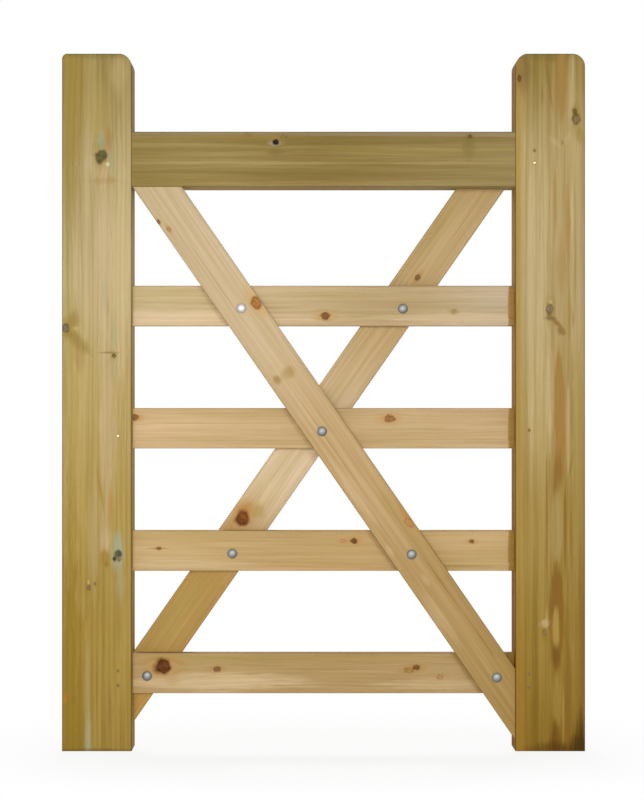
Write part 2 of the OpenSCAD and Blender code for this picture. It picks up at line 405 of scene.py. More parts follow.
TOP_RAIL = Timber(
    node="top_rail",
    pith_depth=0.05,
    pith_across=-0.035,
    ring_gap=0.0075,
    ring_wander=0.012,
    ring_contrast=0.42,
    latewood=(0.76, 0.7, 0.52),
    tones=((0.35, 0.257, 0.095), (0.392, 0.294, 0.118), (0.336, 0.24, 0.09), (0.364, 0.271, 0.116),
           (0.386, 0.301, 0.134)),
    seed=7.7,
    streaks=1.1,
    # Painted light on the narrow sides, which lightens the underside
    sides=(1.1, 1.05, 1.05),
    knots=(
        Knot(0.368, 1.0475, 0.0052, BLACK, PALE_HALO, 1.0, 1.0),
        Knot(0.32, 1.06, 0.002, OLIVE_BROWN, AMBER_HALO, 0.6, 2.4),
        Knot(0.382, 1.057, 0.002, OLIVE_BROWN, AMBER_HALO, 0.6, 2.4),
        Knot(0.702, 1.058, 0.0026, DARK_BROWN, OLIVE_HALO, 0.85, 1.2),
    ),
    stains=(
        Stain(0.45, 1.064, 0.9, 0.009, SLATE, 0.6),
        Stain(0.45, 1.052, 0.7, 0.008, DARK_OLIVE, 0.45),
        Stain(0.366, 1.046, 0.014, 0.0075, KNOT_GREY, 0.75),
        Stain(0.368, 1.03, 0.02, 0.014, DARK_OLIVE, 0.5),
        Stain(0.33, 1.057, 0.16, 0.005, GOLD_BROWN, 0.4),
        Stain(0.24, 1.036, 0.2, 0.008, DARK_OLIVE, 0.4),
        Stain(0.62, 1.032, 0.24, 0.01, OLIVE_GOLD, 0.3),
        Stain(0.3, 1.012, 0.3, 0.0045, PALE_OLIVE, 0.5),
        Stain(0.66, 1.012, 0.22, 0.004, PALE_OLIVE, 0.45),
        Stain(0.34, 0.999, 0.24, 0.008, DARK_OLIVE, 0.4),
        Stain(0.56, 0.994, 0.26, 0.007, DARK_OLIVE, 0.35),
        Stain(0.7, 1.04, 0.016, 0.035, DARK_OLIVE, 0.45),
    ),
)

LOWER_RAILS = (
    Timber(
        node="second_rail",
        pith_depth=0.055,
        pith_across=0.045,
        ring_gap=0.0055,
        ring_wander=0.012,
        ring_contrast=0.36,
        latewood=(0.86, 0.79, 0.66),
        tones=((0.71, 0.556, 0.37), (0.67, 0.51, 0.315), (0.557, 0.411, 0.237), (0.633, 0.519, 0.394)),
        seed=11.2,
        streaks=0.7,
        knots=(
            Knot(0.453, 0.75, 0.0062, (0.14, 0.052, 0.018), AMBER_HALO, 0.9, 1.2),
            Knot(0.676, 0.757, 0.0035, (0.24, 0.17, 0.07), OLIVE_HALO, 0.6, 1.1),
        ),
        stains=(
            Stain(0.22, 0.745, 0.3, 0.02, PALE_TAN, 0.55),
            Stain(0.68, 0.746, 0.2, 0.016, PALE_TAN, 0.35),
            Stain(0.19, 0.793, 0.14, 0.012, OLIVE_GOLD, 0.2),
            Stain(0.46, 0.785, 0.16, 0.012, OLIVE_GOLD, 0.25),
            Stain(0.36, 0.764, 0.06, 0.002, DARK_LINE, 0.3),
        ),
    ),
    Timber(
        node="third_rail",
        pith_depth=-0.04,
        pith_across=-0.06,
        ring_gap=0.0052,
        ring_wander=0.012,
        ring_contrast=0.32,
        latewood=(0.87, 0.79, 0.65),
        tones=((0.725, 0.52, 0.3), (0.639, 0.458, 0.255), (0.63, 0.455, 0.264)),
        seed=15.9,
        streaks=0.65,
        knots=(
            Knot(0.565, 0.572, 0.0062, (0.2, 0.085, 0.028), AMBER_HALO, 0.85, 1.3),
            Knot(0.1235, 0.574, 0.0052, (0.15, 0.075, 0.022), AMBER_HALO, 0.85, 1.1),
        ),
        stains=(
            Stain(0.7, 0.545, 0.16, 0.012, ORANGE, 0.12),
            Stain(0.65, 0.553, 0.07, 0.002, DARK_LINE, 0.25),
        ),
    ),
    Timber(
        node="fourth_rail",
        pith_depth=0.08,
        pith_across=0.02,
        ring_gap=0.005,
        ring_wander=0.012,
        ring_contrast=0.32,
        latewood=(0.87, 0.79, 0.64),
        tones=((0.655, 0.473, 0.245), (0.588, 0.405, 0.192), (0.628, 0.445, 0.228)),
        seed=21.4,
        streaks=0.7,
        knots=(
            Knot(0.503, 0.36, 0.005, (0.08, 0.035, 0.012), AMBER_HALO, 0.9, 1.1),
            Knot(0.484, 0.36, 0.003, ORANGE_BROWN, AMBER_HALO, 0.5, 1.3),
            Knot(0.707, 0.359, 0.0032, (0.1, 0.055, 0.02), AMBER_HALO, 0.8, 1.2),
            Knot(0.165, 0.347, 0.0028, (0.13, 0.075, 0.028), AMBER_HALO, 0.85, 1.3),
        ),
        stains=(
            Stain(0.165, 0.347, 0.03, 0.002, DARK_LINE, 0.5),
            Stain(0.669, 0.317, 0.13, 0.002, DARK_LINE, 0.45),
            Stain(0.2, 0.32, 0.2, 0.012, PALE_TAN, 0.3),
        ),
    ),
    Timber(
        node="bottom_rail",
        pith_depth=-0.06,
        pith_across=0.05,
        ring_gap=0.0052,
        ring_wander=0.012,
        ring_contrast=0.36,
        latewood=(0.86, 0.78, 0.64),
        tones=((0.575, 0.405, 0.212), (0.49, 0.338, 0.156), (0.52, 0.367, 0.187)),
        seed=26.8,
        streaks=0.75,
        knots=(
            Knot(0.1715, 0.1425, 0.0132, (0.078, 0.024, 0.006), AMBER_HALO, 0.97, 1.0),
            Knot(0.266, 0.138, 0.0042, (0.13, 0.06, 0.02), AMBER_HALO, 0.8, 1.5),
            Knot(0.611, 0.141, 0.0042, (0.1, 0.04, 0.014), AMBER_HALO, 0.85, 1.4),
            Knot(0.598, 0.136, 0.0042, (0.25, 0.135, 0.04), AMBER_HALO, 0.7, 1.8),
            Knot(0.652, 0.124, 0.0038, (0.28, 0.16, 0.07), AMBER_HALO, 0.65, 1.3),
        ),
        stains=(
            Stain(0.27, 0.116, 0.22, 0.024, PALE_TAN, 0.5),
            Stain(0.66, 0.112, 0.16, 0.014, PALE_TAN, 0.3),
            Stain(0.24, 0.157, 0.2, 0.012, OLIVE_GOLD, 0.4),
            Stain(0.53, 0.158, 0.2, 0.012, OLIVE_GOLD, 0.3),
            Stain(0.19, 0.118, 0.02, 0.012, OLIVE_GOLD, 0.4),
            Stain(0.774, 0.157, 0.013, 0.024, DARK_BROWN, 0.8),
        ),
    ),
)

BRACES = (
    Timber(
        node="front_brace",
        pith_depth=0.05,
        pith_across=0.025,
        ring_gap=0.0052,
        ring_wander=0.012,
        ring_contrast=0.36,
        latewood=(0.86, 0.78, 0.64),
        tones=((0.65, 0.507, 0.325), (0.672, 0.512, 0.328), (0.6, 0.412, 0.215), (0.508, 0.337, 0.148),
               (0.435, 0.285, 0.1)),
        seed=31.5,
        streaks=0.75,
        knots=(
            Knot(0.3345, 0.7715, 0.0082, (0.26, 0.105, 0.022), AMBER_HALO, 0.92, 1.3),
            Knot(0.184, 0.898, 0.003, ORANGE_BROWN, AMBER_HALO, 0.8, 1.2),
            Knot(0.166, 0.911, 0.003, RED_BROWN, AMBER_HALO, 0.8, 1.2),
            Knot(0.597, 0.393, 0.005, ORANGE_BROWN, AMBER_HALO, 0.6, 1.8),
        ),
        stains=(
            Stain(0.3695, 0.6385, 0.011, 0.0095, GOLD_BROWN, 0.8, 0.0, 1.0, 2.0),
            Stain(0.389, 0.651, 0.014, 0.02, LEG_BROWN, 0.7, 0.0, 1.0, 2.0),
            Stain(0.563, 0.422, 0.04, 0.014, OLIVE_GOLD, 0.5),
            Stain(0.59, 0.41, 0.04, 0.008, ORANGE, 0.45),
            Stain(0.564, 0.345, 0.016, 0.007, PALE_TAN, 0.2),
            Stain(0.626, 0.294, 0.018, 0.007, PALE_TAN, 0.2),
            Stain(0.654, 0.288, 0.07, 0.0022, DARK_LINE, 0.6),
            Stain(0.722, 0.194, 0.06, 0.0022, DARK_LINE, 0.55),
            Stain(0.27, 0.8, 0.16, 0.0022, DARK_LINE, 0.35),
            Stain(0.46, 0.53, 0.16, 0.002, DARK_LINE, 0.3),
            Stain(0.5, 0.45, 0.1, 0.012, PALE_TAN, 0.25),
            Stain(0.65, 0.23, 0.08, 0.016, PALE_TAN, 0.2),
        ),
    ),
    Timber(
        node="back_brace",
        pith_depth=0.07,
        pith_across=-0.05,
        ring_gap=0.0052,
        ring_wander=0.012,
        ring_contrast=0.33,
        latewood=(0.86, 0.78, 0.63),
        tones=((0.575, 0.36, 0.112), (0.52, 0.323, 0.11), (0.765, 0.595, 0.415), (0.565, 0.4, 0.2),
               (0.555, 0.395, 0.203)),
        seed=38.6,
        streaks=0.7,
        knots=(
            Knot(0.614, 0.817, 0.0042, (0.13, 0.075, 0.03), AMBER_HALO, 0.85, 1.3),
            Knot(0.31, 0.398, 0.0115, (0.14, 0.042, 0.01), AMBER_HALO, 0.97, 1.1),
        ),
        stains=(
            Stain(0.31, 0.412, 0.03, 0.024, ORANGE, 0.6),
            Stain(0.335, 0.41, 0.02, 0.018, OLIVE_GOLD, 0.6),
            Stain(0.19, 0.22, 0.16, 0.035, OLIVE_GOLD, 0.45),
            Stain(0.36, 0.45, 0.045, 0.015, PALE_TAN, 0.3),
        ),
    ),
)

# The rails that the braces are bolted to, from the top down
BOLTED_RAILS = ("second_rail", "third_rail", "fourth_rail", "bottom_rail")

# The bolt that is still bright, counted along the rails from the top
CLEAN_BOLT = 1

# Tenon pins that show: stile, rail, inset from the stile's inner edge, drop below the rail's middle,
# and whether it is still bright
TENON_PINS = (
    ("hanging_stile", "third_rail", 0.0235, 0.013, True),
    ("hanging_stile", "fourth_rail", 0.022, 0.0145, False),
    ("hanging_stile", "bottom_rail", 0.0235, -0.007, False),
    ("hanging_stile", "bottom_rail", 0.0235, 0.018, False),
    ("latch_stile", "top_rail", 0.033, 0.007, True),
    ("latch_stile", "top_rail", 0.033, -0.0145, False),
    ("latch_stile", "third_rail", 0.0235, 0.003, False),
    ("latch_stile", "bottom_rail", 0.0235, -0.002, False),
    ("latch_stile", "bottom_rail", 0.0235, 0.021, False),
)


class GATE_PG_timber(bpy.types.PropertyGroup):
    """Finish that all the timbers share."""

    fibre_contrast: FloatProperty(
        name="Fibre Contrast", description="How strongly single fibres show",
        default=0.34, min=0.0, max=1.0, subtype="FACTOR")
    dark_fibres: FloatVectorProperty(
        name="Dark Fibres", description="Tint of the darkest streaks and fibres",
        default=(0.71, 0.67, 0.51), size=3, min=0.0, max=1.0, subtype="COLOR")
    patchiness: FloatProperty(
        name="Patchiness", description="How strongly the preservative shows in patches",
        default=0.4, min=0.0, max=1.0, subtype="FACTOR")
    preservative: FloatVectorProperty(
        name="Preservative", description="Tint that the copper preservative leaves in patches",
        default=(0.84, 0.88, 0.62), size=3, min=0.0, max=1.0, subtype="COLOR")
    # The arris tint is painted shade on the rounded edges
    edge_shade: FloatVectorProperty(
        name="Arris", description="Tint of the rounded edges, where dirt and preservative gather",
        default=(0.52, 0.46, 0.36), size=3, min=0.0, max=1.0, subtype="COLOR")
    end_grain: FloatVectorProperty(
        name="End Grain", description="Tint of sawn ends, which soak up more preservative",
        default=(0.66, 0.6, 0.46), size=3, min=0.0, max=1.0, subtype="COLOR")
    roughness: FloatProperty(
        name="Roughness", description="Roughness of planed wood",
        default=0.62, min=0.0, max=1.0, subtype="FACTOR")
    sheen: FloatProperty(
        name="Sheen", description="Strength of the wood's faint reflection",
        default=0.03, min=0.0, max=1.0, subtype="FACTOR")
    relief: FloatProperty(
        name="Relief", description="Height of the raised grain",
        default=0.00035, min=0.0, max=0.002, precision=5, unit="LENGTH")


class GATE_PG_fixings(bpy.types.PropertyGroup):
    """Sizes and finish of the coach bolts and the tenon pins."""

    bolt_diameter: FloatProperty(
        name="Bolt", description="Diameter of a coach bolt's thread",
        default=0.006, min=0.004, max=0.01, precision=4, unit="LENGTH")
    head_diameter: FloatProperty(
        name="Head", description="Diameter of a coach bolt's domed head",
        default=0.0168, min=0.01, max=0.03, precision=4, unit="LENGTH")
    head_height: FloatProperty(
        name="Head Height", description="Height of a coach bolt's domed head",
        default=0.0042, min=0.001, max=0.008, precision=4, unit="LENGTH")
    washer_diameter: FloatProperty(
        name="Washer", description="Outer diameter of a washer",
        default=0.018, min=0.01, max=0.04, precision=4, unit="LENGTH")
    washer_thickness: FloatProperty(
        name="Washer Thickness", description="Thickness of a washer",
        default=0.0016, min=0.0005, max=0.004, precision=4, unit="LENGTH")
    nut_width: FloatProperty(
        name="Nut", description="Width of a hexagon nut across its flats",
        default=0.01, min=0.006, max=0.02, precision=4, unit="LENGTH")
    nut_height: FloatProperty(
        name="Nut Height", description="Height of a hexagon nut",
        default=0.005, min=0.002, max=0.01, precision=4, unit="LENGTH")
    thread_pitch: FloatProperty(
        name="Thread Pitch", description="Distance from one turn of the thread to the next",
        default=0.001, min=0.0005, max=0.002, precision=4, unit="LENGTH")
    thread_end: FloatProperty(
        name="Thread End", description="Length of thread that stands out of a nut",
        default=0.003, min=0.0, max=0.005, precision=4, unit="LENGTH")
    bolt_drop: FloatProperty(
        name="Bolt Drop", description="Depth of the bolts below the middle of their rail",
        default=0.005, min=0.0, max=0.015, precision=4, unit="LENGTH")
    back_bolt_shift: FloatProperty(
        name="Back Bolt Shift", description="Offset of the back brace's bolts towards the latch stile",
        default=0.01, min=0.0, max=0.018, precision=4, unit="LENGTH")
    brace_width: FloatProperty(
        name="Brace Width", description="Width of a brace, across its grain",
        default=0.07, min=0.05, max=0.09, precision=4, unit="LENGTH")
    pin_diameter: FloatProperty(
        name="Pin", description="Diameter of a tenon pin's head",
        default=0.005, min=0.002, max=0.01, precision=4, unit="LENGTH")
    zinc: FloatVectorProperty(
        name="Zinc", description="Colour of bright zinc plating",
        default=(0.52, 0.51, 0.5), size=3, min=0.0, max=1.0, subtype="COLOR")
    dull_zinc: FloatVectorProperty(
        name="Dull Zinc", description="Colour of weathered zinc plating",
        default=(0.28, 0.29, 0.29), size=3, min=0.0, max=1.0, subtype="COLOR")
    # Tarnish also paints the shade on the pins' rims and lower sides
    tarnish_and_shade: FloatVectorProperty(
        name="Tarnish", description="Colour of dull, stained zinc",
        default=(0.23, 0.155, 0.055), size=3, min=0.0, max=1.0, subtype="COLOR")
    segments: IntProperty(
        name="Segments", description="Sides of a turned piece", default=48, min=12, max=96)


class GATE_PG_stage(bpy.types.PropertyGroup):
    """Camera, light and floor."""

    camera_place: FloatVectorProperty(
        name="Camera", description="Where the camera stands",
        default=(0.415, -3.635, 0.604), size=3, subtype="TRANSLATION", unit="LENGTH")
    lens: FloatProperty(
        name="Lens", description="Focal length, in millimetres", default=94.2, min=20.0, max=300.0)
    view_shift: FloatProperty(
        name="View Shift", description="Sideways shift of the lens, as a share of the picture's height",
        default=0.0235, min=-0.2, max=0.2)
    key_place: FloatVectorProperty(
        name="Key Light", description="Where the main lamp hangs",
        default=(3.9, -10.0, 1.7), size=3, subtype="TRANSLATION", unit="LENGTH")
    key_size: FloatProperty(
        name="Key Size", description="Width of the main lamp",
        default=1.5, min=0.05, max=4.0, unit="LENGTH")
    key_power: FloatProperty(
        name="Key Power", description="Power of the main lamp", default=205.0, min=0.0, unit="POWER")
    fill_place: FloatVectorProperty(
        name="Fill Light", description="Where the soft front lamp hangs",
        default=(0.1, -4.5, 1.0), size=3, subtype="TRANSLATION", unit="LENGTH")
    fill_power: FloatProperty(
        name="Fill Power", description="Power of the soft front lamp", default=88.0, min=0.0, unit="POWER")
    back_place: FloatVectorProperty(
        name="Back Light", description="Where the soft back lamp hangs",
        default=(0.3, 3.0, 3.2), size=3, subtype="TRANSLATION", unit="LENGTH")
    back_power: FloatProperty(
        name="Back Power", description="Power of the soft back lamp", default=100.0, min=0.0, unit="POWER")
    soft_size: FloatProperty(
        name="Soft Lamp Size", description="Width of the fill and back lamps",
        default=1.6, min=0.1, max=4.0, unit="LENGTH")
    ambient: FloatProperty(
        name="Ambient", description="Strength of the white surroundings", default=0.325, min=0.0, max=2.0)
    floor_radius: FloatProperty(
        name="Floor Radius", description="Radius of the floor",
        default=6.0, min=2.0, max=20.0, unit="LENGTH")
    floor_shade: FloatProperty(
        name="Floor Shade", description="Share of the floor's look that takes the gate's shadow",
        default=0.16, min=0.0, max=1.0, subtype="FACTOR")
    shade_reach: FloatProperty(
        name="Shade Reach", description="Distance from the leaf at which the floor is plain white",
        default=0.5, min=0.1, max=6.0, unit="LENGTH")


class Bench:
    """Adds nodes to one tree. A value that is a socket is linked, and any other is set."""

    def __init__(self, tree):
        self.tree = tree

    def give(self, socket, value):
        """Links or sets one input."""
        if isinstance(value, bpy.types.NodeSocket):
            self.tree.links.new(value, socket)
        elif socket.type == "RGBA":
            socket.default_value = (*value[:3], 1.0)
        else:
            socket.default_value = value

    def add(self, kind, inputs=None, **settings):
        """A new node with its settings and inputs."""
        node = self.tree.nodes.new(kind)
        for name, value in settings.items():
            setattr(node, name, value)
        for key, value in (inputs or {}).items():
            self.give(node.inputs[key], value)
        return node

    def place_group(self, group, inputs):
        """Places a node group and returns its outputs by name."""
        return self.add("ShaderNodeGroup", inputs, node_tree=group).outputs

    def math(self, operation, *values):
        """Arithmetic on values."""
        return self.add("ShaderNodeMath", dict(enumerate(values)), operation=operation).outputs[0]

    def vector(self, operation, *values):
        """Arithmetic on vectors."""
        return self.add("ShaderNodeVectorMath", dict(enumerate(values)), operation=operation).outputs[0]

    def dot(self, first, second):
        """How far one vector reaches along another."""
        inputs = {0: first, 1: second}
        return self.add("ShaderNodeVectorMath", inputs, operation="DOT_PRODUCT").outputs["Value"]

    def split(self, vector):
        """The three parts of a vector. Dot products keep a long shader's memory small."""
        return [self.dot(vector, axis) for axis in AXES]

    def join(self, *parts):
        """A vector from three parts."""
        return self.add("ShaderNodeCombineXYZ", dict(enumerate(parts))).outputs[0]

    def fade(self, value, low, high, start=0.0, end=1.0):
        """A smooth step, start at low and end at high. It stays between them without a clamp."""
        steps = dict(enumerate((value, low, high, start, end)))
        settings = {"interpolation_type": "SMOOTHSTEP", "clamp": False}
        return self.add("ShaderNodeMapRange", steps, **settings).outputs[0]

    def noise(self, vector, stretch, detail=2.0, roughness=0.5):
        """Cloud noise that repeats stretch times a metre along each axis."""
        scaled = self.vector("MULTIPLY", vector, stretch)
        inputs = {"Vector": scaled, "Scale": 1.0, "Detail": detail, "Roughness": roughness}
        return self.add("ShaderNodeTexNoise", inputs).outputs[0]

    def mix(self, factor, first, second, blend="MIX"):
        """Two colours mixed."""
        inputs = {MIX_FACTOR: factor, MIX_FIRST: first, MIX_SECOND: second}
        node = self.add("ShaderNodeMix", inputs, data_type="RGBA", blend_type=blend)
        return node.outputs[MIX_COLOUR]

    def ramp(self, factor, colours):
        """Colours spread evenly from 0 to 1."""
        node = self.add("ShaderNodeValToRGB", {0: factor})
        node.color_ramp.interpolation = "EASE"
        stops = node.color_ramp.elements
        while len(stops) < len(colours):
            stops.new(0.5)
        for index, colour in enumerate(colours):
            stops[index].position = index / (len(colours) - 1)
            stops[index].color = (*colour, 1.0)
        return node.outputs[0]


def new_group(name, inputs, outputs):
    """An empty shader node group, with a bench, its given inputs and its results to fill."""
    group = bpy.data.node_groups.new(name, "ShaderNodeTree")
    for label, kind in inputs.items():
        group.interface.new_socket(name=label, in_out="INPUT", socket_type=f"NodeSocket{kind}")
    for label in outputs:
        group.interface.new_socket(name=label, in_out="OUTPUT", socket_type="NodeSocketFloat")
    bench = Bench(group)
    given = bench.add("NodeGroupInput").outputs
    results = bench.add("NodeGroupOutput").inputs
    return group, bench, given, results


def knot_group():
    """A knot's core, rim, halo and inner tone, and how far the grain steps aside for it."""
    inputs = {
        "Place": "Vector", "Centre": "Vector", "Radius": "Float",
        "Stretch": "Float", "Lean": "Float", "Depth": "Float",
    }
    outputs = ("Core", "Rim", "Halo", "Tone", "Grain Shift")
    group, bench, given, results = new_group("Knot", inputs, outputs)
    offset = bench.vector("SUBTRACT", given["Place"], given["Centre"])
    along, through, across = bench.split(offset)
    climbed = bench.math("MULTIPLY_ADD", through, bench.math("MULTIPLY", given["Lean"], -1.0), along)
    shortened = bench.math("DIVIDE", climbed, given["Stretch"])

    def reach(lengthwise):
        """Distance from the knot's middle, in knot radii."""
        square = bench.math("MULTIPLY_ADD", across, across, bench.math("MULTIPLY", lengthwise, lengthwise))
        return bench.math("DIVIDE", bench.math("SQRT", square), given["Radius"])

    size = bench.join(given["Radius"], given["Radius"], given["Radius"])
    apart = bench.vector("MULTIPLY", given["Centre"], (90.0, 90.0, 90.0))
    own_place = bench.vector("ADD", bench.vector("DIVIDE", offset, size), apart)
    wobble = bench.math("SUBTRACT", bench.noise(own_place, (0.8, 0.2, 0.8), 3.0), 0.5)
    edge = bench.math("MULTIPLY_ADD", wobble, 1.1, reach(shortened))
    outside = bench.fade(edge, 1.0, 1.4, 1.0, 0.0)
    rim = bench.math("MULTIPLY", bench.fade(edge, 0.5, 0.95), outside)
    eye = reach(bench.math("DIVIDE", shortened, 1.8))
    crowd = bench.math("MAXIMUM", bench.math("MULTIPLY", eye, eye), 1.0)
    shift = bench.math("DIVIDE", bench.math("MULTIPLY", across, -1.0), crowd)
    mottle = bench.noise(own_place, (1.5, 0.4, 2.2), 3.0, 0.6)
    ending = bench.fade(bench.math("SUBTRACT", through, given["Depth"]), 0.0, 0.006, 1.0, 0.0)
    halo = bench.fade(bench.math("ADD", eye, wobble), 0.6, 2.3, 1.0, 0.0)
    bench.give(results["Core"], bench.math("MULTIPLY", bench.fade(edge, 0.78, 1.12, 1.0, 0.0), ending))
    bench.give(results["Rim"], bench.math("MULTIPLY", rim, ending))
    bench.give(results["Halo"], bench.math("MULTIPLY", halo, ending))
    bench.give(results["Tone"], bench.fade(mottle, 0.34, 0.66))
    bench.give(results["Grain Shift"], shift)
    return group


def growth_group():
    """Growth rings round the pith: the dark latewood of each year."""
    inputs = {
        "Place": "Vector", "Pith Depth": "Float", "Pith Across": "Float",
        "Ring Gap": "Float", "Wander": "Float", "Fray": "Float", "Seed": "Float",
    }
    group, bench, given, results = new_group("Growth Rings", inputs, ("Latewood",))
    _, through, across = bench.split(given["Place"])
    depth = bench.math("SUBTRACT", through, given["Pith Depth"])
    side = bench.math("SUBTRACT", across, given["Pith Across"])
    square = bench.math("MULTIPLY_ADD", depth, depth, bench.math("MULTIPLY", side, side))
    radius = bench.math("SQRT", square)
    seeded = bench.vector("ADD", given["Place"], bench.join(given["Seed"], given["Seed"], given["Seed"]))
    sway = bench.math("SUBTRACT", bench.noise(seeded, (1.4, 7.0, 7.0), 2.0), 0.5)
    frays = bench.math("SUBTRACT", bench.noise(seeded, (9.0, 260.0, 360.0), 3.0, 0.6), 0.5)
    bent = bench.math("MULTIPLY_ADD", sway, given["Wander"], radius)
    frayed = bench.math("MULTIPLY_ADD", frays, given["Fray"], bent)
    year = bench.math("DIVIDE", frayed, given["Ring Gap"])
    season = bench.math("FRACT", year)
    hardening = bench.fade(season, 0.36, 0.8)
    stop = bench.fade(season, 0.9, 1.0, 1.0, 0.0)
    number = bench.math("ADD", bench.math("FLOOR", year), given["Seed"])
    vigour = bench.add("ShaderNodeTexWhiteNoise", {"W": number}, noise_dimensions="1D").outputs[0]
    strength = bench.math("MULTIPLY_ADD", vigour, 0.6, 0.4)
    late = bench.math("MULTIPLY", bench.math("MULTIPLY", hardening, stop), strength)
    bench.give(results["Latewood"], late)
    return group


def fibre_group():
    """Streaks, bands, single fibres, preservative patches and flecks, all drawn out along the grain.

    The feather frays the edges of stains.
    """
    inputs = {"Place": "Vector", "Seed": "Float"}
    outputs = ("Streaks", "Bands", "Fibres", "Patches", "Flecks", "Feather")
    group, bench, given, results = new_group("Fibres", inputs, outputs)
    seeded = bench.vector("ADD", given["Place"], bench.join(given["Seed"], given["Seed"], given["Seed"]))
    layers = {
        "Streaks": ((1.1, 26.0, 34.0), 3.0, 0.32, 0.68),
        "Bands": ((2.6, 95.0, 130.0), 3.0, 0.32, 0.68),
        "Fibres": ((7.0, 330.0, 430.0), 3.0, 0.3, 0.7),
        "Patches": ((2.4, 14.0, 18.0), 3.0, 0.45, 0.7),
        "Flecks": ((45.0, 600.0, 800.0), 1.0, 0.64, 0.76),
    }
    for name, (stretch, detail, low, high) in layers.items():
        bench.give(results[name], bench.fade(bench.noise(seeded, stretch, detail, 0.6), low, high))
    frayed = bench.noise(given["Place"], (22.0, 260.0, 340.0), 3.0, 0.6)
    bench.give(results["Feather"], bench.math("SUBTRACT", frayed, 0.5))
    return group


def stain_group():
    """A patch near the surface, with edges that feather along the grain."""
    inputs = {
        "Place": "Vector", "Centre": "Vector", "Along": "Vector", "Through": "Vector", "Across": "Vector",
        "Feather": "Float", "Softness": "Float", "Bluntness": "Float",
    }
    group, bench, given, results = new_group("Stain", inputs, ("Mask",))
    offset = bench.vector("SUBTRACT", given["Place"], given["Centre"])

    def share(axis, bend):
        """How far out a place is along one axis, bent to round the outline."""
        return bench.math("POWER", bench.math("ABSOLUTE", bench.dot(offset, given[axis])), bend)

    length, depth, width = share("Along", given["Bluntness"]), share("Through", 2.0), share("Across", 1.3)
    distance = bench.math("ADD", length, bench.math("ADD", depth, width))
    ragged = bench.math("MULTIPLY_ADD", given["Feather"], STAIN_FRAY, distance)
    core = bench.math("SUBTRACT", 1.0, given["Softness"])
    bench.give(results["Mask"], bench.fade(ragged, core, 1.0, 1.0, 0.0))
    return group


def face_group():
    """Rounded edges, narrow sides and sawn ends, told apart by the way that the surface faces. The first
    two carry painted shade.
    """
    inputs = {"Normal": "Vector", "Grain": "Vector"}
    group, bench, given, results = new_group("Faces", inputs, ("Arris", "Side", "Sawn"))
    facing = bench.math("ABSOLUTE", bench.dot(given["Normal"], AXES[1]))
    lengthwise = bench.math("ABSOLUTE", bench.dot(given["Normal"], given["Grain"]))
    edge_shade = bench.math("MULTIPLY", bench.fade(facing, 0.98, 0.75), bench.fade(facing, 0.05, 0.4))
    bench.give(results["Arris"], edge_shade)
    bench.give(results["Side"], bench.fade(facing, 0.4, 0.05))
    bench.give(results["Sawn"], bench.fade(lengthwise, 0.7, 0.95))
    return group


def plating_group():
    """Zinc plating's crystals and clouds, and painted shade on the rim and the lower side of a round
    piece.
    """
    inputs = {"Place": "Vector", "Rim": "Float"}
    outputs = ("Crystal", "Cloud", "Rim Shade", "Low Shade")
    group, bench, given, results = new_group("Plating", inputs, outputs)
    cells = {"Vector": given["Place"], "Scale": 900.0}
    crystals = bench.add("ShaderNodeTexVoronoi", cells).outputs["Color"]
    flat_place = bench.vector("MULTIPLY", given["Place"], (1.0, 0.0, 1.0))
    radius = bench.add("ShaderNodeVectorMath", {0: flat_place}, operation="LENGTH").outputs["Value"]
    rim_start = bench.math("MULTIPLY", given["Rim"], 0.55)
    low_side = bench.dot(given["Place"], (0.6, 0.0, -0.8))
    low_start = bench.math("MULTIPLY", given["Rim"], -0.3)
    bench.give(results["Crystal"], bench.dot(crystals, AXES[0]))
    bench.give(results["Cloud"], bench.noise(given["Place"], (260.0, 260.0, 260.0), 4.0, 0.6))
    # Painted shade: a darker rim, and a darker lower side
    bench.give(results["Rim Shade"], bench.fade(radius, rim_start, given["Rim"], 0.0, 0.5))
    bench.give(results["Low Shade"], bench.fade(low_side, low_start, given["Rim"], 0.0, 0.75))
    return group


def shared_group(name, make):
    """A node group by name, made the first time that it is asked for."""
    return bpy.data.node_groups.get(name) or make()


def upright_board(node):
    """Axes of a stile, whose grain runs up."""
    low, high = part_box(node)
    return Board((low + high) / 2, -math.pi / 2, high.z - low.z, high.y - low.y)


def level_board(node):
    """Axes of a rail, whose grain runs from the hanging stile to the latch stile."""
    low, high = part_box(node)
    return Board((low + high) / 2, 0.0, high.x - low.x, high.y - low.y)


def brace_line(node, width, height):
    """X of a brace's middle line at a height. The front brace falls to the right, the back one left."""
    low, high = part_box(node)
    run = (high.x - low.x) / (high.z - low.z)
    reach = (high.z - height) * run + width / 2 * math.hypot(1.0, run)
    return low.x + reach if node == "front_brace" else high.x - reach


def brace_board(node, width):
    """Axes of a brace, whose grain runs from left to right along it."""
    low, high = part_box(node)
    centre = (low + high) / 2
    centre.x = brace_line(node, width, centre.z)
    slope = math.atan2(high.z - low.z, high.x - low.x)
    turn = slope if node == "front_brace" else -slope
    return Board(centre, turn, math.hypot(high.x - low.x, high.z - low.z), high.y - low.y)


